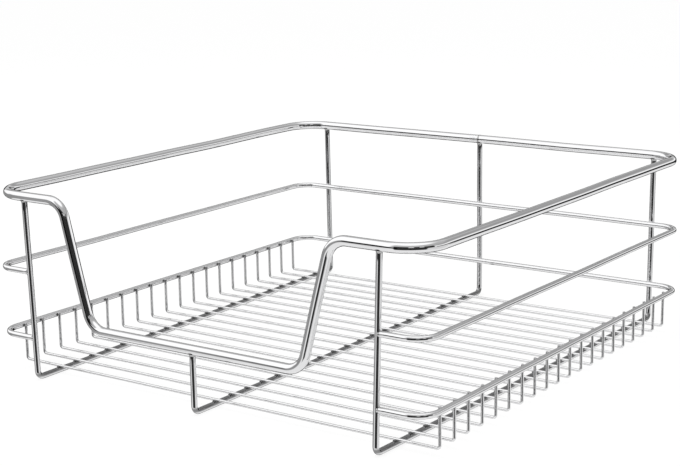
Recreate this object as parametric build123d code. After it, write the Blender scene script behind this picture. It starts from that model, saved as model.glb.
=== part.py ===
from build123d import *
import os

# Welded wire basket of a pull-out kitchen drawer, in millimetres.
# +X is to the right seen from the front, +Y to the back and +Z up.
# The origin lies on the standing plane, in the middle of the footprint.

# Overall size, measured over the thick rim wire
OVERALL_WIDTH = 535.0
OVERALL_DEPTH = 556.0
OVERALL_HEIGHT = 200.0

# Wire diameters
RIM_WIRE = 10.0
RING_WIRE = 6.0
FRAME_WIRE = 6.0
BASE_WIRE = 3.0

# The thinner wires are many-sided bars, measured across their flats
THIN_WIRE_SIDES = 12
BASE_WIRE_SIDES = 8

# Top rim: corners in plan, and the dip in its front run, inset from the rim's side wires
RIM_CORNER_RADIUS = 36.0
DIP_RAIL_HEIGHT = 66.5
DIP_TOP_INSET = 96.5
DIP_BOTTOM_INSET = 131.5
DIP_BEND_RADIUS = 22.0

# Two rings below the rim, at the heights of their wire centres
MIDDLE_RING_HEIGHT = 115.5
LOWER_RING_HEIGHT = 45.0
RING_CORNER_RADIUS = 22.0

# Three U-shaped frames that run under the base and stand up at front and back.
# The side frames' tops are inset from the rim's side wires, and their feet lean in a little more.
SIDE_FRAME_FRONT_INSET = 44.5
SIDE_FRAME_FRONT_LEAN = 6.0
SIDE_FRAME_BACK_INSET = 34.5
SIDE_FRAME_BACK_LEAN = 2.0
FRAME_BEND_RADIUS = 7.0
FRAME_BEND_CHORDS = 4

# Cross wires of the base, spread evenly between the rounded corners of the lower ring
BASE_WIRE_COUNT = 20
BASE_WIRE_END_GAP = 9.5
BASE_WIRE_BEND_RADIUS = 3.2
BASE_WIRE_BEND_CHORDS = 3
BASE_WIRE_TIP_DROP = 0.8

# Welds: how deep a ring sits in the uprights behind it, and in the ones at its ends
RING_WELD_SEAT = 0.4
RING_END_COPE = 0.8

# Places that follow from the sizes above
RIM_X = (OVERALL_WIDTH - RIM_WIRE) / 2
RIM_Y = (OVERALL_DEPTH - RIM_WIRE) / 2
RIM_Z = OVERALL_HEIGHT - RIM_WIRE / 2
RING_X = (OVERALL_WIDTH - RING_WIRE) / 2
RING_FRONT_Y = -RIM_Y
RING_BACK_Y = RIM_Y - (FRAME_WIRE + RING_WIRE) / 2 + RING_WELD_SEAT
FRAME_RUN_Z = FRAME_WIRE / 2
BASE_WIRE_Z = FRAME_WIRE + BASE_WIRE / 2
BASE_WIRE_X = RING_X - (RING_WIRE + BASE_WIRE) / 2
BASE_WIRE_TIP_Z = LOWER_RING_HEIGHT + RING_WIRE / 2 - BASE_WIRE_TIP_DROP


def many_sided_section(path, flat_direction, diameter, sides):
    """Section of a thin wire across the start of its path, one flat facing a direction."""
    start = Plane(origin=path @ 0, x_dir=flat_direction, z_dir=path % 0)
    outline = RegularPolygon(diameter / 2, sides, major_radius=False, rotation=180 / sides)
    return start * outline


def chorded_path(points, bend_radius, chords):
    """Path of a thin wire whose small bends are drawn as a few short chords."""
    bent = FilletPolyline(*points, radius=bend_radius)
    places = [bent @ 0]
    for run in bent.edges():
        steps = chords if run.geom_type == GeomType.CIRCLE else 1
        places += [run @ (step / steps) for step in range(1, steps + 1)]
    return Polyline(*places)


def make_top_rim():
    """Closed rim wire: the right half from the back weld to the middle of the dip, mirrored."""
    points = [
        (0, RIM_Y, RIM_Z),
        (RIM_X, RIM_Y, RIM_Z),
        (RIM_X, -RIM_Y, RIM_Z),
        (RIM_X - DIP_TOP_INSET, -RIM_Y, RIM_Z),
        (RIM_X - DIP_BOTTOM_INSET, -RIM_Y, DIP_RAIL_HEIGHT),
        (0, -RIM_Y, DIP_RAIL_HEIGHT),
    ]
    bends = [RIM_CORNER_RADIUS, RIM_CORNER_RADIUS, DIP_BEND_RADIUS, DIP_BEND_RADIUS]
    path = FilletPolyline(*points, radius=bends)
    section = Plane(origin=path @ 0, z_dir=path % 0) * Circle(RIM_WIRE / 2)
    half = sweep(section, path=path)
    return half + mirror(half, about=Plane.YZ)


def front_upright_x(height):
    """Distance of a side frame's front upright from the middle, at a height."""
    share = (RIM_Z - height) / (RIM_Z - FRAME_RUN_Z)
    return RIM_X - SIDE_FRAME_FRONT_INSET - SIDE_FRAME_FRONT_LEAN * share


def back_upright_x(height):
    """Distance of a side frame's back upright from the middle, at a height."""
    share = (RIM_Z - height) / (RIM_Z - FRAME_RUN_Z)
    return RIM_X - SIDE_FRAME_BACK_INSET - SIDE_FRAME_BACK_LEAN * share


def level_flat_direction(path):
    """Way a flat faces at a frame's top, so that the frame's bottom run has level flats."""
    down = path % 0
    back = path % 0.5
    sideways = down.cross(back).normalized()
    tilt = sideways.Z / sideways.cross(back).Z
    return sideways - sideways.cross(down) * tilt


def bend_frame(points, top_rim):
    """U-shaped frame through its tops and feet, coped to the underside of the rim."""
    path = chorded_path(points, FRAME_BEND_RADIUS, FRAME_BEND_CHORDS)
    section = many_sided_section(path, level_flat_direction(path), FRAME_WIRE, THIN_WIRE_SIDES)
    return sweep(section, path=path, transition=Transition.RIGHT) - top_rim


def make_right_frame(top_rim):
    """Right frame, which leans outwards and stands a little wider at the back."""
    points = [
        (front_upright_x(RIM_Z), -RIM_Y, RIM_Z),
        (front_upright_x(FRAME_RUN_Z), -RIM_Y, FRAME_RUN_Z),
        (back_upright_x(FRAME_RUN_Z), RIM_Y, FRAME_RUN_Z),
        (back_upright_x(RIM_Z), RIM_Y, RIM_Z),
    ]
    return bend_frame(points, top_rim)


def make_centre_frame(top_rim):
    """Middle frame: its short front upright ends under the low rail of the dip."""
    points = [
        (0, -RIM_Y, DIP_RAIL_HEIGHT),
        (0, -RIM_Y, FRAME_RUN_Z),
        (0, RIM_Y, FRAME_RUN_Z),
        (0, RIM_Y, RIM_Z),
    ]
    return bend_frame(points, top_rim)


def make_ring(height, frames):
    """Ring round the back and sides, its ends coped to the outer sides of the front uprights."""
    end_x = front_upright_x(height) + FRAME_WIRE / 2 - RING_END_COPE
    points = [
        (-end_x, RING_FRONT_Y, height),
        (-RING_X, RING_FRONT_Y, height),
        (-RING_X, RING_BACK_Y, height),
        (RING_X, RING_BACK_Y, height),
        (RING_X, RING_FRONT_Y, height),
        (end_x, RING_FRONT_Y, height),
    ]
    path = FilletPolyline(*points, radius=RING_CORNER_RADIUS)
    ring = sweep(many_sided_section(path, (0, 0, 1), RING_WIRE, THIN_WIRE_SIDES), path=path)
    for frame in frames:
        ring -= frame
    return ring


def base_wire_places():
    """Distances of the cross wires from the middle of the footprint, front to back."""
    first = RING_FRONT_Y + RING_CORNER_RADIUS + BASE_WIRE_END_GAP
    last = RING_BACK_Y - RING_CORNER_RADIUS - BASE_WIRE_END_GAP
    pitch = (last - first) / (BASE_WIRE_COUNT - 1)
    return [first + index * pitch for index in range(BASE_WIRE_COUNT)]


def make_base_wire(y):
    """Cross wire of the base, lying on the frames, with both ends turned up inside the lower ring."""
    points = [
        (-BASE_WIRE_X, y, BASE_WIRE_TIP_Z),
        (-BASE_WIRE_X, y, BASE_WIRE_Z),
        (BASE_WIRE_X, y, BASE_WIRE_Z),
        (BASE_WIRE_X, y, BASE_WIRE_TIP_Z),
    ]
    path = chorded_path(points, BASE_WIRE_BEND_RADIUS, BASE_WIRE_BEND_CHORDS)
    section = many_sided_section(path, (0, 1, 0), BASE_WIRE, BASE_WIRE_SIDES)
    return sweep(section, path=path, transition=Transition.RIGHT)


def main():
    """Build every wire of the basket and write one file for each."""
    os.makedirs("parts", exist_ok=True)
    top_rim = make_top_rim()
    right_frame = make_right_frame(top_rim)
    left_frame = mirror(right_frame, about=Plane.YZ)
    centre_frame = make_centre_frame(top_rim)
    frames = [left_frame, centre_frame, right_frame]
    nodes = {
        "top_rim": top_rim,
        "middle_ring": make_ring(MIDDLE_RING_HEIGHT, frames),
        "lower_ring": make_ring(LOWER_RING_HEIGHT, frames),
        "left_frame": left_frame,
        "centre_frame": centre_frame,
        "right_frame": right_frame,
    }
    for number, y in enumerate(base_wire_places(), start=1):
        nodes[f"base_wire_{number:02d}"] = make_base_wire(y)
    for name, shape in nodes.items():
        export_step(shape, f"parts/{name}.step")


main()
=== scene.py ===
"""Looks of the chromed wire drawer basket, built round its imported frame.

Every wire is drawn out and bent as a round bar along the same centre lines as the
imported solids, with weld beads where the wires meet. Everything is in metres.
"""

from __future__ import annotations

import logging
import math
from dataclasses import dataclass
from enum import Enum

import bmesh
import bpy
from mathutils import Matrix, Vector, noise

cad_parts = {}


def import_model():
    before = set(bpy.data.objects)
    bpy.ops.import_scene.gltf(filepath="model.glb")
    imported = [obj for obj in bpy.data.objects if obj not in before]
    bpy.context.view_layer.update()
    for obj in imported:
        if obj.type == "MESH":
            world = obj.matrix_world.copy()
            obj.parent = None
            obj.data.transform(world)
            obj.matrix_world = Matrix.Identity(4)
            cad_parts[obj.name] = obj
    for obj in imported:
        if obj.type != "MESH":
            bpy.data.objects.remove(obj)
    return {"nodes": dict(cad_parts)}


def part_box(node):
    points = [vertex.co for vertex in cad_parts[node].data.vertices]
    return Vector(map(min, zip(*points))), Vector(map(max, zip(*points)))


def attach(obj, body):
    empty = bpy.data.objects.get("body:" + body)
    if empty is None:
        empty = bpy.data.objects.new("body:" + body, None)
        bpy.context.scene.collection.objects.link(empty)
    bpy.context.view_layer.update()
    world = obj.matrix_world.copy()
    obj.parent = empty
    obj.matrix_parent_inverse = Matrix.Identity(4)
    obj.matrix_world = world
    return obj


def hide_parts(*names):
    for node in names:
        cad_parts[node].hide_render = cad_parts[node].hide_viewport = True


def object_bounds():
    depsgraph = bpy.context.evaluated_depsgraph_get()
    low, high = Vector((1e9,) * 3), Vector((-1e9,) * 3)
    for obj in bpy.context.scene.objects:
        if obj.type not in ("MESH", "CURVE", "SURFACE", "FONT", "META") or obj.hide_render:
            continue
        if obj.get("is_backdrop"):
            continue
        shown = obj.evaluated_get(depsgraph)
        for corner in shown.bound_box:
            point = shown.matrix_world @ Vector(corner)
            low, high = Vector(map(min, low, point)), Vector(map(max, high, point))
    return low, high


LOG = logging.getLogger("wire_basket")

# The basket's one body, which every piece rides on
BODY = "root"

# Vertex layer that keeps where each vertex was on the wire before it was bent
SKIN = "skin"

# Start of the noise behind the waves and lumps, so that every run gives the same wires
WAVE_SEED = 7

WHITE = (1.0, 1.0, 1.0, 1.0)


class Plating(Enum):
    """Material slots of the record, one for each gauge of wire."""

    RIM = "rim_chrome"
    WIRE = "wire_chrome"
    BASE = "base_wire_chrome"


@dataclass(frozen=True)
class BasketSizes:
    """Sizes of the basket: box sizes read from the frame, and bends that a box can't show.

    Attributes:
        rim_x: Distance of the rim's side wires from the middle.
        rim_y: Distance of the rim's front and back wires from the middle.
        rim_z: Height of the rim wire's centre.
        rim_wire: Diameter of the rim wire.
        dip_z: Height of the low front rail's centre.
        ring_wire: Diameter of the two rings' wire.
        ring_x: Distance of a ring's side wires from the middle.
        ring_back_y: Place of a ring's back wire.
        middle_ring_z: Height of the middle ring.
        lower_ring_z: Height of the lower ring.
        frame_wire: Diameter of the three frames' wire.
        base_wire: Diameter of the cross wires.
        base_wire_x: Distance of a cross wire's upturned ends from the middle.
        base_wire_tip_z: Height of those ends.
        base_wire_places: Places of the cross wires, front to back, by node name.
        rim_corner_radius: Bend radius of the rim's corners.
        dip_top_inset: Distance of the dip's upper turns from the rim's side wires.
        dip_bottom_inset: Distance of its lower turns from them.
        dip_bend_radius: Bend radius of its four turns.
        ring_corner_radius: Bend radius of the two rings' corners.
        front_upright_inset: Distance of a side frame's front top from the rim's side wire.
        front_upright_lean: How much further in its front foot stands.
        back_upright_inset: Distance of a side frame's back top from the rim's side wire.
        back_upright_lean: How much further in its back foot stands.
        frame_bend_radius: Bend radius of the frames' feet.
        base_wire_bend_radius: Bend radius of a cross wire's two turns.
    """

    rim_x: float
    rim_y: float
    rim_z: float
    rim_wire: float
    dip_z: float
    ring_wire: float
    ring_x: float
    ring_back_y: float
    middle_ring_z: float
    lower_ring_z: float
    frame_wire: float
    base_wire: float
    base_wire_x: float
    base_wire_tip_z: float
    base_wire_places: dict[str, float]
    rim_corner_radius: float = 0.036
    dip_top_inset: float = 0.0965
    dip_bottom_inset: float = 0.1315
    dip_bend_radius: float = 0.022
    ring_corner_radius: float = 0.022
    front_upright_inset: float = 0.0445
    front_upright_lean: float = 0.006
    back_upright_inset: float = 0.0345
    back_upright_lean: float = 0.002
    frame_bend_radius: float = 0.007
    base_wire_bend_radius: float = 0.0032

    @classmethod
    def from_frame(cls, nodes: list[str]) -> BasketSizes:
        """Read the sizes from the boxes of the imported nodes.

        Args:
            nodes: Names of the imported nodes.

        Returns:
            The sizes, in metres.
        """
        rim_low, rim_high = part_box("top_rim")
        middle_low, middle_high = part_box("middle_ring")
        lower_low, lower_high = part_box("lower_ring")
        frame_low, frame_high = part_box("centre_frame")
        wires = sorted(name for name in nodes if name.startswith("base_wire_"))
        wire_boxes = {name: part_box(name) for name in wires}
        wire_low, wire_high = wire_boxes[wires[0]]
        ring_wire = middle_high.z - middle_low.z
        base_wire = wire_high.y - wire_low.y
        rim_wire = 2 * (rim_high.y - frame_high.y) + frame_high.x - frame_low.x
        return cls(
            rim_x=rim_high.x - rim_wire / 2,
            rim_y=rim_high.y - rim_wire / 2,
            rim_z=rim_high.z - rim_wire / 2,
            rim_wire=rim_wire,
            dip_z=rim_low.z + rim_wire / 2,
            ring_wire=ring_wire,
            ring_x=middle_high.x - ring_wire / 2,
            ring_back_y=middle_high.y - ring_wire / 2,
            middle_ring_z=(middle_low.z + middle_high.z) / 2,
            lower_ring_z=(lower_low.z + lower_high.z) / 2,
            frame_wire=frame_high.x - frame_low.x,
            base_wire=base_wire,
            base_wire_x=wire_high.x - base_wire / 2,
            base_wire_tip_z=wire_high.z,
            base_wire_places={name: (low.y + high.y) / 2 for name, (low, high) in wire_boxes.items()},
        )

    def front_upright_x(self, height: float) -> float:
        """Distance of a side frame's front upright from the middle, at a height."""
        share = (self.rim_z - height) / (self.rim_z - self.frame_wire / 2)
        return self.rim_x - self.front_upright_inset - self.front_upright_lean * share

    def back_upright_x(self, height: float) -> float:
        """Distance of a side frame's back upright from the middle, at a height."""
        share = (self.rim_z - height) / (self.rim_z - self.frame_wire / 2)
        return self.rim_x - self.back_upright_inset - self.back_upright_lean * share


@dataclass(frozen=True)
class Waviness:
    """Slow waves that bending and welding leave in long wires, the same for wires that touch.

    Attributes:
        amplitude: Half of the largest shift along an axis.
        wavelength: Length of the waves.
        reach: Largest coordinates of the basket, where a wire may only shift inwards.
    """

    amplitude: float
    wavelength: float
    reach: Vector

    def apply(self, mesh: bmesh.types.BMesh) -> None:
        """Shift every vertex of a mesh, which stays inside the basket's box and on the floor."""
        for vert in mesh.verts:
            wave = noise.noise_vector(vert.co / self.wavelength)
            share = Vector(co / limit for co, limit in zip(vert.co, self.reach))
            shift = wave - share
            # Nothing rises, and what stands on the floor stays there
            shift.z = (wave.z - 1.0) * share.z
            vert.co += self.amplitude * shift


def edges_of_ring(ring: list[bmesh.types.BMVert]) -> list[bmesh.types.BMEdge]:
    """Edges whose two ends both lie in a ring of vertices, in a steady order."""
    members = set(ring)
    edges = dict.fromkeys(edge for vert in ring for edge in vert.link_edges)
    return [edge for edge in edges if members.issuperset(edge.verts)]


def verts_among(
    made: list[bmesh.types.BMVert | bmesh.types.BMEdge | bmesh.types.BMFace],
) -> list[bmesh.types.BMVert]:
    """Vertices among the things that an operator made."""
    return [item for item in made if isinstance(item, bmesh.types.BMVert)]


def add_to_scene(name: str, data: bpy.types.ID) -> bpy.types.Object:
    """Make an object from its data and put it in the scene."""
    made = bpy.data.objects.new(name, data)
    bpy.context.scene.collection.objects.link(made)
    return made


@dataclass
class RoundWire:
    """One round wire, drawn out straight and turned at its corners.

    Attributes:
        corners: Places where the centre line starts, turns and ends.
        bend_radii: Radius of the centre line at each turn.
        diameter: Thickness of the wire.
        sides: Number of faces round the wire.
        feed: Longest straight step between two rings of vertices.
        turn: Largest turn between two rings of vertices, in degrees.
        closed: Whether the wire ends where it starts.
        join_share: How near the ends of a closed wire have to be to join, for its diameter.
        sheared_edge: Width of the small rounding at a cut end.
        sheared_steps: Faces across that rounding.
    """

    corners: list[Vector]
    bend_radii: list[float]
    diameter: float
    sides: int
    feed: float = 0.012
    turn: float = 5.0
    closed: bool = False
    join_share: float = 0.01
    sheared_edge: float = 0.0004
    sheared_steps: int = 3

    def build(self) -> bmesh.types.BMesh:
        """Draw the wire along its whole path.

        Returns:
            A mesh with the skin's unbent place kept in a vertex layer.
        """
        mesh = bmesh.new()
        skin = mesh.verts.layers.float_vector.new(SKIN)
        ring = self._first_ring(mesh, skin)
        first = list(ring)
        run = 0.0
        place = self.corners[0]
        for index, radius in enumerate(self.bend_radii, start=1):
            corner = self.corners[index]
            incoming = (corner - self.corners[index - 1]).normalized()
            outgoing = (self.corners[index + 1] - corner).normalized()
            angle = incoming.angle(outgoing)
            trim = radius * math.tan(angle / 2)
            start = corner - incoming * trim
            ring, run = self._feed(mesh, skin, ring, start - place, run)
            axis = incoming.cross(outgoing).normalized()
            centre = start + axis.cross(incoming) * radius
            ring, run = self._turn(mesh, skin, ring, centre, axis, angle, run)
            place = corner + outgoing * trim
        ring, run = self._feed(mesh, skin, ring, self.corners[-1] - place, run)
        if self.closed:
            bmesh.ops.remove_doubles(mesh, verts=first + ring, dist=self.diameter * self.join_share)
        else:
            self._shear(mesh, first)
            self._shear(mesh, ring)
        bmesh.ops.recalc_face_normals(mesh, faces=mesh.faces)
        return mesh

    def _first_ring(
        self, mesh: bmesh.types.BMesh, skin: bmesh.types.BMLayerItem
    ) -> list[bmesh.types.BMVert]:
        """Lay a circle across the start of the path.

        Args:
            mesh: Mesh that takes the circle.
            skin: Layer for the unbent place.

        Returns:
            The circle's vertices.
        """
        ring = bmesh.ops.create_circle(mesh, segments=self.sides, radius=self.diameter / 2)["verts"]
        for vert in ring:
            vert[skin] = vert.co
        direction = (self.corners[1] - self.corners[0]).normalized()
        turned = direction.to_track_quat("Z", "Y").to_matrix().to_4x4()
        bmesh.ops.transform(mesh, matrix=Matrix.Translation(self.corners[0]) @ turned, verts=ring)
        return ring

    def _feed(
        self,
        mesh: bmesh.types.BMesh,
        skin: bmesh.types.BMLayerItem,
        ring: list[bmesh.types.BMVert],
        travel: Vector,
        run: float,
    ) -> tuple[list[bmesh.types.BMVert], float]:
        """Draw the wire out straight.

        Args:
            mesh: Mesh of the wire.
            skin: Layer for the unbent place.
            ring: Vertices at the wire's free end.
            travel: How far and where the end moves.
            run: Length of wire drawn so far.

        Returns:
            The new free end and the new length.
        """
        steps = max(1, math.ceil(travel.length / self.feed))
        for _ in range(steps):
            made = bmesh.ops.extrude_edge_only(mesh, edges=edges_of_ring(ring))["geom"]
            ring = verts_among(made)
            bmesh.ops.translate(mesh, vec=travel / steps, verts=ring)
            run += travel.length / steps
            self._mark(skin, ring, run)
        return ring, run

    def _turn(
        self,
        mesh: bmesh.types.BMesh,
        skin: bmesh.types.BMLayerItem,
        ring: list[bmesh.types.BMVert],
        centre: Vector,
        axis: Vector,
        angle: float,
        run: float,
    ) -> tuple[list[bmesh.types.BMVert], float]:
        """Bend the wire round a centre.

        Args:
            mesh: Mesh of the wire.
            skin: Layer for the unbent place.
            ring: Vertices at the wire's free end.
            centre: Centre of the bend.
            axis: Axis that the end turns about.
            angle: Angle of the bend, in radians.
            run: Length of wire drawn so far.

        Returns:
            The new free end and the new length.
        """
        steps = max(1, math.ceil(math.degrees(angle) / self.turn))
        arc = angle * (sum((vert.co for vert in ring), Vector()) / len(ring) - centre).length
        for _ in range(steps):
            made = bmesh.ops.spin(
                mesh, geom=edges_of_ring(ring), cent=centre, axis=axis, angle=angle / steps, steps=1
            )["geom_last"]
            ring = verts_among(made)
            run += arc / steps
            self._mark(skin, ring, run)
        return ring, run

    @staticmethod
    def _mark(skin: bmesh.types.BMLayerItem, ring: list[bmesh.types.BMVert], run: float) -> None:
        """Write the length along the wire into the skin layer of a ring."""
        for vert in ring:
            vert[skin].z = run

    def _shear(self, mesh: bmesh.types.BMesh, ring: list[bmesh.types.BMVert]) -> None:
        """Close a cut end with a flat face and round its edge a little.

        Args:
            mesh: Mesh of the wire.
            ring: Vertices at that end.
        """
        end_edges = edges_of_ring(ring)
        bmesh.ops.holes_fill(mesh, edges=end_edges, sides=self.sides)
        bmesh.ops.bevel(
            mesh,
            geom=end_edges,
            offset=self.sheared_edge,
            offset_type="OFFSET",
            segments=self.sheared_steps,
            profile=0.5,
            affect="EDGES",
            material=-1,
        )


class NodeBench:
    """Short way to lay out and join shader nodes in one tree."""

    def __init__(self, tree: bpy.types.NodeTree) -> None:
        """Start on an emptied tree."""
        self.tree = tree
        self.tree.nodes.clear()

    def add(
        self, kind: str, values: dict[str | int, object] | None = None, **settings: object
    ) -> bpy.types.Node:
        """Add a node.

        Args:
            kind: Blender's name for the kind of node.
            values: Values for its sockets, by name or number; a socket given here is joined.
            settings: Properties of the node itself.

        Returns:
            The new node.
        """
        node = self.tree.nodes.new(kind)
        for name, value in settings.items():
            setattr(node, name, value)
        for socket, value in (values or {}).items():
            if isinstance(value, bpy.types.NodeSocket):
                self.tree.links.new(value, node.inputs[socket])
            else:
                node.inputs[socket].default_value = value
        return node

    def maths(self, operation: str, *values: float | bpy.types.NodeSocket) -> bpy.types.NodeSocket:
        """Add a Math node and give its result.

        Args:
            operation: Blender's name for the sum.
            values: Numbers or sockets, in order.

        Returns:
            The node's output.
        """
        node = self.add("ShaderNodeMath", dict(enumerate(values)), operation=operation)
        return node.outputs[0]

    def noise_level(
        self, place: bpy.types.NodeSocket, scale: float, detail: float
    ) -> bpy.types.NodeSocket:
        """Add a noise texture and give its level.

        Args:
            place: Where the texture is read.
            scale: Patches in a metre.
            detail: How many finer layers it has.

        Returns:
            The node's output.
        """
        return self.add("ShaderNodeTexNoise", {"Vector": place, "Scale": scale, "Detail": detail}).outputs[0]

    def span(
        self,
        value: bpy.types.NodeSocket,
        taken: tuple[float, float],
        given: tuple[float, float],
        **settings: object,
    ) -> bpy.types.NodeSocket:
        """Add a Map Range node and give its result.

        Args:
            value: Value to carry over.
            taken: Two levels of that value.
            given: What they become; beyond them the result stays level.
            settings: Properties of the node itself.

        Returns:
            The node's output.
        """
        limits = {"From Min": taken[0], "From Max": taken[1], "To Min": given[0], "To Max": given[1]}
        return self.add("ShaderNodeMapRange", {"Value": value, **limits}, **settings).outputs[0]


@dataclass(frozen=True)
class ChromeFinish:
    """Bright chrome plating on drawn wire.

    Attributes:
        name: Name of the material.
        bright: Brightness of the cleanest plating.
        dull: Brightness where the plating is thinner.
        gloss: Lowest and highest roughness.
        patch_scale: Patches of thinner plating along a metre of wire.
        patch_contrast: Noise levels between which the roughness goes from highest to lowest.
        ripple: Height of the slow ripples along the wire.
        ripple_length: Length of those ripples.
        draw_line: Height of the fine lines that the drawing die leaves.
        draw_scale: Such lines in a metre, in two directions across the wire and along it.
        blue_share: Brightness of the plating's blue for that of its red and green.
        metal: Share of mirror metal; the rest is a milky bloom on thin plating.
        under_base_painted_shade: Brightness left in a band of painted shade and dark reflection low on the
            wire, where it runs under the base wires.
        painted_shade_height: Height of the middle of that band of painted shade.
        painted_shade_reach: Distances above and below it where the painted shade starts to fade and where it
            ends.
    """

    name: str
    bright: float = 0.90
    dull: float = 0.80
    gloss: tuple[float, float] = (0.03, 0.09)
    patch_scale: float = 45.0
    patch_contrast: tuple[float, float] = (0.3, 0.7)
    ripple: float = 0.00006
    ripple_length: float = 0.030
    draw_line: float = 0.000004
    draw_scale: tuple[float, float, float] = (900.0, 900.0, 25.0)
    blue_share: float = 1.01
    metal: float = 1.0
    under_base_painted_shade: float = 1.0
    painted_shade_height: float = 0.0055
    painted_shade_reach: tuple[float, float] = (0.0012, 0.0036)

    def material(self) -> bpy.types.Material:
        """Make the material.

        Returns:
            A metal whose colour, gloss and bump vary along the unbent wire.
        """
        made = bpy.data.materials.new(self.name)
        made.use_nodes = True
        bench = NodeBench(made.node_tree)
        skin = bench.add("ShaderNodeAttribute", attribute_name=SKIN).outputs["Vector"]
        patches = bench.noise_level(skin, self.patch_scale, detail=3.0)
        colour = bench.add(
            "ShaderNodeMix",
            {0: patches, 6: self._grey(self.dull), 7: self._grey(self.bright)},
            data_type="RGBA",
        ).outputs[2]
        shader = bench.add(
            "ShaderNodeBsdfPrincipled",
            {
                "Base Color": self._paint_under_base_shade(bench, colour),
                "Metallic": self.metal,
                "Roughness": bench.span(patches, self.patch_contrast, self.gloss[::-1]),
                "Normal": self._bumped(bench, skin),
            },
        )
        bench.add("ShaderNodeOutputMaterial", {"Surface": shader.outputs[0]})
        return made

    def _paint_under_base_shade(self, bench: NodeBench, colour: bpy.types.NodeSocket) -> bpy.types.NodeSocket:
        """Paint shade and dark reflection into a colour, in a band low on the wire where it runs under the
        base wires.

        Args:
            bench: Node tree of the material.
            colour: Colour of the plating.

        Returns:
            The colour with that painted shade.
        """
        place = bench.add("ShaderNodeTexCoord").outputs["Object"]
        height = bench.add("ShaderNodeSeparateXYZ", {0: place}).outputs["Z"]
        away = bench.maths("ABSOLUTE", bench.maths("SUBTRACT", height, self.painted_shade_height))
        # Painted shade: the colour darkens around this height, where the frames' runs lie under the base
        # wires
        shade = bench.span(away, self.painted_shade_reach, (self.under_base_painted_shade, 1.0))
        return bench.add("ShaderNodeVectorMath", {0: colour, "Scale": shade}, operation="SCALE").outputs[0]

    def _bumped(self, bench: NodeBench, skin: bpy.types.NodeSocket) -> bpy.types.NodeSocket:
        """Raise slow ripples and fine drawing lines on the wire.

        Args:
            bench: Node tree of the material.
            skin: Place on the unbent wire.

        Returns:
            The surface's direction with both.
        """
        waves = bench.noise_level(skin, 1 / self.ripple_length, detail=1.0)
        ripple = bench.add("ShaderNodeBump", {"Height": waves, "Distance": self.ripple, "Strength": 1.0})
        drawn = bench.add("ShaderNodeVectorMath", {0: skin, 1: self.draw_scale}, operation="MULTIPLY")
        lines = bench.noise_level(drawn.outputs[0], 1.0, detail=2.0)
        return bench.add(
            "ShaderNodeBump",
            {"Height": lines, "Distance": self.draw_line, "Strength": 1.0, "Normal": ripple.outputs[0]},
        ).outputs[0]

    def _grey(self, level: float) -> tuple[float, float, float, float]:
        """Slightly cool grey of a brightness."""
        return (level, level, level * self.blue_share, 1.0)


@dataclass(frozen=True)
class WeldFinish:
    """Plated weld metal, lumpy and less glossy than the wire.

    Attributes:
        name: Name of the material.
        level: Brightness of the metal.
        gloss: Lowest and highest roughness.
        lump: Height of the lumps.
        lump_length: Distance from one lump to the next.
        lump_strength: How much of that height the shading shows.
        dark_share: Share of the brightness left in the darkest patches.
    """

    name: str
    level: float
    gloss: tuple[float, float]
    lump: float = 0.0004
    lump_length: float = 0.0022
    lump_strength: float = 0.6
    dark_share: float = 0.8

    def material(self) -> bpy.types.Material:
        """Make the material.

        Returns:
            A metal with lumps and dull patches.
        """
        made = bpy.data.materials.new(self.name)
        made.use_nodes = True
        bench = NodeBench(made.node_tree)
        place = bench.add("ShaderNodeTexCoord").outputs["Object"]
        lumps = bench.noise_level(place, 1 / self.lump_length, detail=3.0)
        dark = self.level * self.dark_share
        colour = bench.add(
            "ShaderNodeMix",
            {0: lumps, 6: (dark, dark, dark, 1.0), 7: (self.level, self.level, self.level, 1.0)},
            data_type="RGBA",
        ).outputs[2]
        bump = bench.add(
            "ShaderNodeBump", {"Height": lumps, "Distance": self.lump, "Strength": self.lump_strength}
        ).outputs[0]
        rough = bench.span(lumps, (0.0, 1.0), self.gloss)
        shader = bench.add(
            "ShaderNodeBsdfPrincipled",
            {"Base Color": colour, "Metallic": 1.0, "Roughness": rough, "Normal": bump},
        )
        bench.add("ShaderNodeOutputMaterial", {"Surface": shader.outputs[0]})
        return made


@dataclass
class Workshop:
    """What every sub-assembly needs to turn a mesh into a dressed piece.

    Attributes:
        sizes: Sizes of the basket.
        waviness: Waves given to every wire and weld.
        finishes: Material for each gauge of wire.
        weld: Material of the brighter welds on the rim.
        shade_painted_weld: Material of the spot welds, painted dark as the shade and dark reflection where
            the wires cross.
    """

    sizes: BasketSizes
    waviness: Waviness
    finishes: dict[Plating, bpy.types.Material]
    weld: bpy.types.Material
    shade_painted_weld: bpy.types.Material

    def make_piece(
        self, mesh: bmesh.types.BMesh, name: str, material: bpy.types.Material
    ) -> bpy.types.Object:
        """Turn a mesh into a piece that rides on the basket's body.

        Args:
            mesh: Finished mesh, which is used up.
            name: Name of the piece.
            material: Its finish.

        Returns:
            The piece, at the origin with its place in its mesh.
        """
        self.waviness.apply(mesh)
        data = bpy.data.meshes.new(name)
        mesh.to_mesh(data)
        mesh.free()
        data.shade_smooth()
        data.materials.append(material)
        piece = add_to_scene(name, data)
        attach(piece, BODY)
        LOG.info("%s: %d faces", name, len(data.polygons))
        return piece

    def dress_wire(self, wire: RoundWire, node: str, plating: Plating) -> bpy.types.Object:
        """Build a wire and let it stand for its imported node.

        Args:
            wire: The wire.
            node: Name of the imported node.
            plating: Slot that gives its finish.

        Returns:
            The piece.
        """
        piece = self.make_piece(wire.build(), f"{node}_round", self.finishes[plating])
        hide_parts(node)
        return piece


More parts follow.
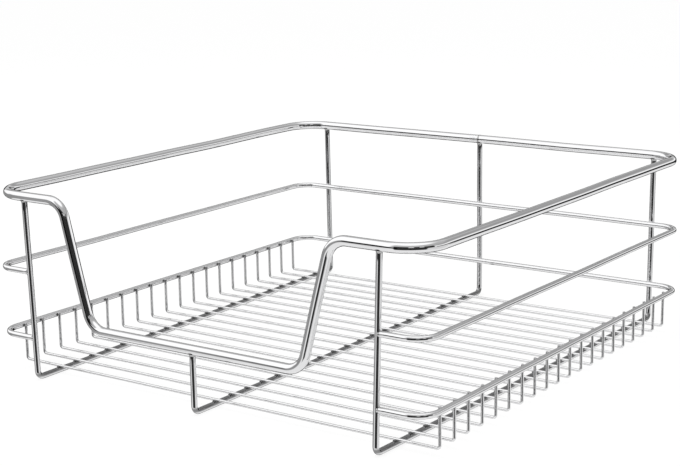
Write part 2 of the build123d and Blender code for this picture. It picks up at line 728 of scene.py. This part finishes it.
@dataclass
class TopRim:
    """Thick closed wire round the top, which dips at the front.

    Attributes:
        shop: Tools and finishes.
        sides: Faces round the wire.
    """

    shop: Workshop
    sides: int = 48

    def build(self) -> RoundWire:
        """Lay out the rim from its back weld round by the right side.

        Returns:
            The closed wire.
        """
        s = self.shop.sizes
        dip_top_x = s.rim_x - s.dip_top_inset
        dip_bottom_x = s.rim_x - s.dip_bottom_inset
        corners = [
            Vector((0, s.rim_y, s.rim_z)),
            Vector((s.rim_x, s.rim_y, s.rim_z)),
            Vector((s.rim_x, -s.rim_y, s.rim_z)),
            Vector((dip_top_x, -s.rim_y, s.rim_z)),
            Vector((dip_bottom_x, -s.rim_y, s.dip_z)),
            Vector((-dip_bottom_x, -s.rim_y, s.dip_z)),
            Vector((-dip_top_x, -s.rim_y, s.rim_z)),
            Vector((-s.rim_x, -s.rim_y, s.rim_z)),
            Vector((-s.rim_x, s.rim_y, s.rim_z)),
            Vector((0, s.rim_y, s.rim_z)),
        ]
        corner, dip = s.rim_corner_radius, s.dip_bend_radius
        radii = [corner, corner, dip, dip, dip, dip, corner, corner]
        return RoundWire(corners, radii, s.rim_wire, self.sides, turn=4.0, closed=True)

    def dress(self) -> bpy.types.Object:
        """Build the rim and plate it."""
        return self.shop.dress_wire(self.build(), "top_rim", Plating.RIM)


@dataclass
class SideRing:
    """Open ring round the back and sides, welded to the front uprights.

    Attributes:
        shop: Tools and finishes.
        node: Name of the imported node.
        height: Height of the wire's centre.
        sides: Faces round the wire.
        weld_depth: How far an end reaches into its upright.
    """

    shop: Workshop
    node: str
    height: float
    sides: int = 32
    weld_depth: float = 0.002

    def build(self) -> RoundWire:
        """Lay out the ring from its left end to its right end.

        Returns:
            The open wire.
        """
        s = self.shop.sizes
        end_x = s.front_upright_x(self.height) + s.frame_wire / 2 - self.weld_depth
        corners = [
            Vector((-end_x, -s.rim_y, self.height)),
            Vector((-s.ring_x, -s.rim_y, self.height)),
            Vector((-s.ring_x, s.ring_back_y, self.height)),
            Vector((s.ring_x, s.ring_back_y, self.height)),
            Vector((s.ring_x, -s.rim_y, self.height)),
            Vector((end_x, -s.rim_y, self.height)),
        ]
        return RoundWire(corners, [s.ring_corner_radius] * 4, s.ring_wire, self.sides)

    def dress(self) -> bpy.types.Object:
        """Build the ring and plate it."""
        return self.shop.dress_wire(self.build(), self.node, Plating.WIRE)


@dataclass
class UnderFrames:
    """Three U-shaped frames under the base, with uprights at front and back.

    Attributes:
        shop: Tools and finishes.
        sides: Faces round the wire.
        weld_depth: How far an upright's top reaches into the rim.
    """

    shop: Workshop
    sides: int = 32
    weld_depth: float = 0.0015

    def build(self, side: int) -> RoundWire:
        """Lay out one frame from its front top to its back top.

        Args:
            side: -1 for the left frame, 0 for the centre one and 1 for the right one.

        Returns:
            The wire.
        """
        s = self.shop.sizes
        under_rim = s.rim_wire / 2 - self.weld_depth
        foot_z = s.frame_wire / 2
        back_top_z = s.rim_z - under_rim
        front_top_z = back_top_z if side else s.dip_z - under_rim
        corners = [
            Vector((side * s.front_upright_x(front_top_z), -s.rim_y, front_top_z)),
            Vector((side * s.front_upright_x(foot_z), -s.rim_y, foot_z)),
            Vector((side * s.back_upright_x(foot_z), s.rim_y, foot_z)),
            Vector((side * s.back_upright_x(back_top_z), s.rim_y, back_top_z)),
        ]
        return RoundWire(corners, [s.frame_bend_radius] * 2, s.frame_wire, self.sides, turn=8.0)

    def dress(self) -> list[bpy.types.Object]:
        """Build and plate the three frames."""
        names = {-1: "left_frame", 0: "centre_frame", 1: "right_frame"}
        return [self.shop.dress_wire(self.build(side), name, Plating.WIRE) for side, name in names.items()]


@dataclass
class BaseGrid:
    """Cross wires of the base, with both ends turned up inside the lower ring.

    Attributes:
        shop: Tools and finishes.
        sides: Faces round a wire.
    """

    shop: Workshop
    sides: int = 20

    def build(self, y: float) -> RoundWire:
        """Lay out one cross wire.

        Args:
            y: Its place from front to back.

        Returns:
            The wire.
        """
        s = self.shop.sizes
        run_z = s.frame_wire + s.base_wire / 2
        corners = [
            Vector((-s.base_wire_x, y, s.base_wire_tip_z)),
            Vector((-s.base_wire_x, y, run_z)),
            Vector((s.base_wire_x, y, run_z)),
            Vector((s.base_wire_x, y, s.base_wire_tip_z)),
        ]
        return RoundWire(corners, [s.base_wire_bend_radius] * 2, s.base_wire, self.sides, turn=9.0)

    def dress(self) -> list[bpy.types.Object]:
        """Build and plate all cross wires."""
        places = self.shop.sizes.base_wire_places
        return [self.shop.dress_wire(self.build(y), node, Plating.BASE) for node, y in places.items()]


@dataclass
class Welds:
    """Weld metal where the wires meet.

    A bead's shape is half its width, depth and height, each for half the wire's diameter.

    Attributes:
        shop: Tools and finishes.
        collar_steps: Rings of vertices in a fillet under the rim.
        collar_sides: Faces round such a fillet.
        collar_width: How far the fillet stands out from the upright.
        collar_height: Height over which it flares out.
        collar_depth: How far its top reaches into the rim.
        seam_swell: How far the rim's seam stands out from the wire.
        seam_half_width: Half the seam's width along the wire.
        seam_sides: Faces round the seam's section.
        seam_steps: Sections of the seam round the wire.
        ring_end_offset: Distance of a ring end's bead from its upright's centre, for half the wire.
        ring_end_bead: Shape of that bead.
        ring_crossing_bead: Shape of the bead between a ring and a back upright.
        base_crossing_bead: Shape of the bead between a cross wire and a frame.
        upturned_end_bead: Shape of the bead between a cross wire's end and the lower ring.
        lump_share: How far a bead's surface is out of shape, for its size.
        lump_scale: Lumps in a metre.
    """

    shop: Workshop
    collar_steps: int = 5
    collar_sides: int = 24
    collar_width: float = 0.0016
    collar_height: float = 0.00256
    collar_depth: float = 0.0012
    seam_swell: float = 0.00022
    seam_half_width: float = 0.0012
    seam_sides: int = 12
    seam_steps: int = 48
    ring_end_offset: float = 0.9
    ring_end_bead: tuple[float, float, float] = (0.55, 1.05, 1.12)
    ring_crossing_bead: tuple[float, float, float] = (0.95, 0.5, 0.95)
    base_crossing_bead: tuple[float, float, float] = (1.7, 2.1, 0.62)
    upturned_end_bead: tuple[float, float, float] = (0.6, 2.0, 1.3)
    lump_share: float = 0.12
    lump_scale: float = 900.0

    def dress(self) -> list[bpy.types.Object]:
        """Build and plate every group of welds."""
        smooth, shaded_beads = self.shop.weld, self.shop.shade_painted_weld
        groups = {
            "rim_weld_fillets": (self.build_fillets(), Plating.RIM, smooth),
            "rim_seam_bead": (self.build_seam(), Plating.RIM, smooth),
            # The ring and base beads take weld metal painted dark, which stands for the shade and dark
            # reflection where the wires cross
            "ring_weld_beads": (self.build_ring_beads(), Plating.WIRE, shaded_beads),
            "base_weld_beads": (self.build_base_beads(), Plating.BASE, shaded_beads),
        }
        pieces = []
        for name, (mesh, plating, material) in groups.items():
            piece = self.shop.make_piece(mesh, name, material)
            pieces.append(piece)
        return pieces

    def _upright_tops(self) -> list[Vector]:
        """Places on the centre line of the rim wire above each upright."""
        s = self.shop.sizes
        front = s.front_upright_x(s.rim_z)
        back = s.back_upright_x(s.rim_z)
        tops = [Vector((side * front, -s.rim_y, s.rim_z)) for side in (-1, 1)]
        tops += [Vector((side * back, s.rim_y, s.rim_z)) for side in (-1, 0, 1)]
        return tops + [Vector((0, -s.rim_y, s.dip_z))]

    def build_fillets(self) -> bmesh.types.BMesh:
        """Flare a collar of weld metal from each upright to the underside of the rim.

        Returns:
            Mesh of all the collars.
        """
        s = self.shop.sizes
        mesh = bmesh.new()
        drop = s.rim_wire / 2 - self.collar_depth + self.collar_height
        for top in self._upright_tops():
            radius = s.frame_wire / 2
            ring = bmesh.ops.create_circle(
                mesh,
                segments=self.collar_sides,
                radius=radius,
                matrix=Matrix.Translation(top - Vector((0, 0, drop))),
            )["verts"]
            first = edges_of_ring(ring)
            on_axis = Matrix.Translation((-top.x, -top.y, 0))
            risen = 0.0
            for step in range(1, self.collar_steps + 1):
                sweep = math.radians(90 * step / self.collar_steps)
                wider = s.frame_wire / 2 + self.collar_width * (1 - math.cos(sweep))
                higher = self.collar_height * math.sin(sweep)
                ring = verts_among(bmesh.ops.extrude_edge_only(mesh, edges=edges_of_ring(ring))["geom"])
                bmesh.ops.translate(mesh, vec=Vector((0, 0, higher - risen)), verts=ring)
                grow = Vector((wider / radius, wider / radius, 1))
                bmesh.ops.scale(mesh, vec=grow, space=on_axis, verts=ring)
                radius = wider
                risen = higher
            bmesh.ops.holes_fill(mesh, edges=first + edges_of_ring(ring), sides=self.collar_sides)
        bmesh.ops.recalc_face_normals(mesh, faces=mesh.faces)
        return mesh

    def build_seam(self) -> bmesh.types.BMesh:
        """Raise a low ring round the rim where its two ends are butt-welded at the back.

        Returns:
            Mesh of the ring.
        """
        s = self.shop.sizes
        mesh = bmesh.new()
        top = Vector((0, s.rim_y, s.rim_z + s.rim_wire / 2 - self.seam_swell))
        upright = Matrix.Rotation(math.radians(90), 4, "X")
        oval = Matrix.Diagonal((self.seam_half_width, 2 * self.seam_swell, 1, 1))
        section = bmesh.ops.create_circle(
            mesh,
            segments=self.seam_sides,
            radius=1.0,
            matrix=Matrix.Translation(top) @ upright @ oval,
        )["verts"]
        bmesh.ops.spin(
            mesh,
            geom=edges_of_ring(section),
            cent=Vector((0, s.rim_y, s.rim_z)),
            axis=Vector((1, 0, 0)),
            angle=math.tau,
            steps=self.seam_steps,
            use_merge=True,
        )
        bmesh.ops.recalc_face_normals(mesh, faces=mesh.faces)
        return mesh

    def _bead(self, mesh: bmesh.types.BMesh, place: Vector, half_sizes: Vector) -> None:
        """Add one squashed bead.

        Args:
            mesh: Mesh that takes the bead.
            place: Its centre.
            half_sizes: Half its width, depth and height.
        """
        shape = Matrix.Translation(place) @ Matrix.Diagonal((*half_sizes, 1.0))
        verts = bmesh.ops.create_icosphere(mesh, subdivisions=2, radius=1.0, matrix=shape)["verts"]
        for vert in verts:
            lump = self.lump_share * noise.noise(vert.co * self.lump_scale)
            vert.co = place + (vert.co - place) * (1.0 + lump)

    def build_ring_beads(self) -> bmesh.types.BMesh:
        """Put beads where the rings end at the front uprights and cross the back ones.

        Returns:
            Mesh of all those beads.
        """
        s = self.shop.sizes
        mesh = bmesh.new()
        half_wire = s.ring_wire / 2
        for height in (s.middle_ring_z, s.lower_ring_z):
            front_x = s.front_upright_x(height) + half_wire * self.ring_end_offset
            back_x = s.back_upright_x(height)
            for side in (-1, 1):
                place = Vector((side * front_x, -s.rim_y, height))
                self._bead(mesh, place, half_wire * Vector(self.ring_end_bead))
            for side in (-1, 0, 1):
                place = Vector((side * back_x, (s.ring_back_y + s.rim_y) / 2, height))
                self._bead(mesh, place, half_wire * Vector(self.ring_crossing_bead))
        bmesh.ops.recalc_face_normals(mesh, faces=mesh.faces)
        return mesh

    def build_base_beads(self) -> bmesh.types.BMesh:
        """Put a small bead at every crossing of the base and at every upturned end.

        Returns:
            Mesh of all those beads.
        """
        s = self.shop.sizes
        mesh = bmesh.new()
        half_wire = s.base_wire / 2
        front_x = s.front_upright_x(s.frame_wire / 2)
        back_x = s.back_upright_x(s.frame_wire / 2)
        for y in s.base_wire_places.values():
            share = (y + s.rim_y) / (2 * s.rim_y)
            side_x = front_x + (back_x - front_x) * share
            for side in (-1, 0, 1):
                place = Vector((side * side_x, y, s.frame_wire))
                self._bead(mesh, place, half_wire * Vector(self.base_crossing_bead))
            for side in (-1, 1):
                place = Vector((side * (s.base_wire_x + half_wire), y, s.lower_ring_z))
                self._bead(mesh, place, half_wire * Vector(self.upturned_end_bead))
        bmesh.ops.recalc_face_normals(mesh, faces=mesh.faces)
        return mesh


@dataclass(frozen=True)
class StudioCard:
    """A bright or dark card of the studio, as the chrome sees it.

    Azimuth 0 is straight in front of the basket and 90 is to its right.

    Attributes:
        azimuth: Middle of the card, in degrees.
        elevation: Height of its middle above the horizon, in degrees.
        half_width: Half its width, in degrees.
        half_height: Half its height, in degrees.
        edge: Width of its soft edge, in degrees.
        level: Its brightness, where 1 is white.
    """

    azimuth: float
    elevation: float
    half_width: float
    half_height: float
    edge: float
    level: float


@dataclass
class Studio:
    """Camera, floor, lamp and surroundings.

    Attributes:
        camera_place: Place of the camera.
        camera_heading: How far it is turned left from looking straight to the back, in degrees.
        camera_pitch: How far it looks down, in degrees.
        camera_roll: How far it is turned about its own line of sight, in degrees.
        sensor_width: Width of its sensor, in millimetres.
        focal_length: Focal length of its lens, in millimetres.
        floor_half_side: Half the side of the square floor.
        floor_paint: Brightness of the floor's paint.
        floor_glow: Share of plain white in how the camera sees it; the rest is paint with its shadow.
        lamp_place: Place of the soft lamp, which points at the origin.
        lamp_size: Its width and height.
        lamp_power: Its power, in watts.
        table_level: Brightness of the white table below the horizon, as the chrome sees it.
        ceiling_level: Brightness of the ceiling above it.
        horizon_edge: Half the height of the soft edge between the two, in degrees.
        cards: Cards in the order they are laid over each other.
    """

    camera_place: tuple[float, float, float] = (0.9750, -1.4000, 0.5047)
    camera_heading: float = 35.314
    camera_pitch: float = 12.398
    camera_roll: float = -0.909
    sensor_width: float = 36.0
    focal_length: float = 85.17
    floor_half_side: float = 20.0
    floor_paint: float = 0.93
    floor_glow: float = 0.86
    lamp_place: tuple[float, float, float] = (-0.5, -0.3, 2.2)
    lamp_size: tuple[float, float] = (2.4, 1.8)
    lamp_power: float = 26.0
    table_level: float = 0.90
    ceiling_level: float = 1.18
    horizon_edge: float = 1.0
    cards: tuple[StudioCard, ...] = (
        StudioCard(azimuth=0, elevation=37, half_width=180, half_height=21, edge=18, level=0.53),
        StudioCard(azimuth=180, elevation=25, half_width=76, half_height=9, edge=17, level=0.36),
        StudioCard(azimuth=153, elevation=-5, half_width=52, half_height=9, edge=5, level=0.02),
        StudioCard(azimuth=-64, elevation=36, half_width=43, half_height=26, edge=12, level=1.20),
        StudioCard(azimuth=-53, elevation=-4, half_width=19, half_height=16, edge=12, level=0.32),
        StudioCard(azimuth=44, elevation=-2, half_width=54, half_height=31, edge=5, level=0.03),
        StudioCard(azimuth=36, elevation=20, half_width=7, half_height=5, edge=3, level=1.00),
        StudioCard(azimuth=64, elevation=23, half_width=6, half_height=5, edge=3, level=0.90),
        StudioCard(azimuth=112, elevation=-22, half_width=34, half_height=17, edge=5, level=0.75),
        StudioCard(azimuth=-79, elevation=-16, half_width=31, half_height=20, edge=5, level=0.30),
        StudioCard(azimuth=-144, elevation=-23, half_width=32, half_height=34, edge=12, level=0.00),
        StudioCard(azimuth=-18, elevation=1, half_width=19, half_height=12, edge=5, level=0.00),
        StudioCard(azimuth=98, elevation=41, half_width=38, half_height=13, edge=14, level=0.47),
    )

    def build(self) -> None:
        """Set up the whole studio."""
        bpy.context.scene.view_settings.view_transform = "Standard"
        self.build_camera()
        self.build_floor()
        self.build_lamp()
        self.build_surroundings()

    def build_camera(self) -> None:
        """Put the camera at the photograph's viewpoint."""
        data = bpy.data.cameras.new("photo_camera")
        data.sensor_width = self.sensor_width
        data.lens = self.focal_length
        camera = add_to_scene("photo_camera", data)
        heading = Matrix.Rotation(math.radians(self.camera_heading), 4, "Z")
        raised = Matrix.Rotation(math.radians(90.0 - self.camera_pitch), 4, "X")
        rolled = Matrix.Rotation(math.radians(self.camera_roll), 4, "Z")
        camera.matrix_world = Matrix.Translation(self.camera_place) @ heading @ raised @ rolled
        bpy.context.scene.camera = camera

    def build_floor(self) -> None:
        """Lay a pale floor that the camera sees white, with the basket's shadow on it."""
        mesh = bmesh.new()
        bmesh.ops.create_grid(mesh, x_segments=1, y_segments=1, size=self.floor_half_side)
        data = bpy.data.meshes.new("studio_floor")
        mesh.to_mesh(data)
        mesh.free()
        floor = add_to_scene("studio_floor", data)
        floor.visible_glossy = False
        material = bpy.data.materials.new("white_floor")
        material.use_nodes = True
        bench = NodeBench(material.node_tree)
        level = self.floor_paint
        paint = bench.add("ShaderNodeBsdfDiffuse", {"Color": (level, level, level, 1.0)})
        glow = bench.add("ShaderNodeEmission", {"Color": WHITE, "Strength": 1.0})
        seen = bench.add("ShaderNodeLightPath").outputs["Is Camera Ray"]
        share = bench.maths("MULTIPLY", seen, self.floor_glow)
        mixed = bench.add("ShaderNodeMixShader", {0: share, 1: paint.outputs[0], 2: glow.outputs[0]})
        bench.add("ShaderNodeOutputMaterial", {"Surface": mixed.outputs[0]})
        data.materials.append(material)
        floor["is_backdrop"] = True

    def build_lamp(self) -> None:
        """Hang one large soft lamp over the basket, which the chrome doesn't mirror."""
        data = bpy.data.lights.new("overhead_softbox", "AREA")
        data.shape = "RECTANGLE"
        data.size, data.size_y = self.lamp_size
        data.energy = self.lamp_power
        lamp = add_to_scene("overhead_softbox", data)
        lamp.location = self.lamp_place
        lamp.rotation_mode = "QUATERNION"
        lamp.rotation_quaternion = Vector(self.lamp_place).to_track_quat("Z", "Y")
        lamp.visible_glossy = False

    def build_surroundings(self) -> None:
        """Surround the basket with a white room and cards that draw lines on the chrome."""
        world = bpy.data.worlds.new("white_studio")
        bpy.context.scene.world = world
        world.use_nodes = True
        bench = NodeBench(world.node_tree)
        look = bench.add("ShaderNodeTexCoord").outputs["Generated"]
        parts = bench.add("ShaderNodeSeparateXYZ", {0: look}).outputs
        elevation = bench.maths("DEGREES", bench.maths("ARCSINE", parts["Z"]))
        front = bench.maths("MULTIPLY", parts["Y"], -1.0)
        azimuth = bench.maths("DEGREES", bench.maths("ARCTAN2", parts["X"], front))
        limits = (-self.horizon_edge, self.horizon_edge)
        room = bench.span(elevation, limits, (self.table_level, self.ceiling_level))
        for card in self.cards:
            room = self._lay_card(bench, card, azimuth, elevation, room)
        mirrored = bench.add("ShaderNodeBackground", {"Color": room, "Strength": 1.0})
        plain = bench.add("ShaderNodeBackground", {"Color": WHITE, "Strength": 1.0})
        # Only the chrome's reflections show the cards. The camera and all other light meet plain white.
        glossy = bench.add("ShaderNodeLightPath").outputs["Is Glossy Ray"]
        shown = bench.add(
            "ShaderNodeMixShader", {0: glossy, 1: plain.outputs[0], 2: mirrored.outputs[0]}
        )
        bench.add("ShaderNodeOutputWorld", {"Surface": shown.outputs[0]})

    @staticmethod
    def _lay_card(
        bench: NodeBench,
        card: StudioCard,
        azimuth: bpy.types.NodeSocket,
        elevation: bpy.types.NodeSocket,
        room: bpy.types.NodeSocket,
    ) -> bpy.types.NodeSocket:
        """Lay one card over what is there.

        Args:
            bench: Node tree of the surroundings.
            card: The card.
            azimuth: Direction looked at, in degrees.
            elevation: Its height above the horizon, in degrees.
            room: Brightness so far.

        Returns:
            Brightness with the card.
        """
        aside = bench.maths("WRAP", bench.maths("SUBTRACT", azimuth, card.azimuth), 180.0, -180.0)
        above = bench.maths("SUBTRACT", elevation, card.elevation)
        masks = []
        for offset, half in ((aside, card.half_width), (above, card.half_height)):
            away = bench.maths("ABSOLUTE", offset)
            limits = (half - card.edge / 2, half + card.edge / 2)
            masks.append(bench.span(away, limits, (1.0, 0.0), interpolation_type="SMOOTHSTEP"))
        cover = bench.maths("MULTIPLY", *masks)
        mixed = bench.add("ShaderNodeMix", {0: cover, 2: room, 3: card.level}, data_type="FLOAT")
        return mixed.outputs[0]


def main() -> None:
    """Build the studio and every sub-assembly of the basket."""
    logging.basicConfig(level=logging.INFO, format="%(name)s %(message)s")
    noise.seed_set(WAVE_SEED)
    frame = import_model()
    cad_low, cad_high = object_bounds()
    sizes = BasketSizes.from_frame(sorted(frame["nodes"]))
    Studio().build()
    finishes = {
        Plating.RIM: ChromeFinish("chrome_on_rim_wire", ripple=0.00010).material(),
        # The frame wire's plating gets a band of painted shade and dark reflection low down, under the base
        # wires
        Plating.WIRE: ChromeFinish("chrome_on_frame_wire", ripple_length=0.022, under_base_painted_shade=0.32).material(),
        Plating.BASE: ChromeFinish(
            "chrome_on_base_wire", ripple=0.00002, ripple_length=0.014, metal=0.94
        ).material(),
    }
    reach = Vector(max(abs(low), abs(high)) for low, high in zip(cad_low, cad_high))
    shop = Workshop(
        sizes=sizes,
        waviness=Waviness(amplitude=0.0006, wavelength=0.11, reach=reach),
        finishes=finishes,
        weld=WeldFinish("plated_weld_metal", level=0.55, gloss=(0.10, 0.24), lump=0.0002).material(),
        # Spot weld metal painted dark, as the shade and dark reflection at the wire crossings
        shade_painted_weld=WeldFinish("weld_painted_dark_as_shade", level=0.16, gloss=(0.18, 0.36)).material(),
    )
    TopRim(shop).dress()
    SideRing(shop, "middle_ring", sizes.middle_ring_z).dress()
    SideRing(shop, "lower_ring", sizes.lower_ring_z).dress()
    UnderFrames(shop).dress()
    BaseGrid(shop).dress()
    Welds(shop).dress()
    LOG.info("frame box %s %s", tuple(cad_low), tuple(cad_high))


if __name__ == "__main__":
    main()
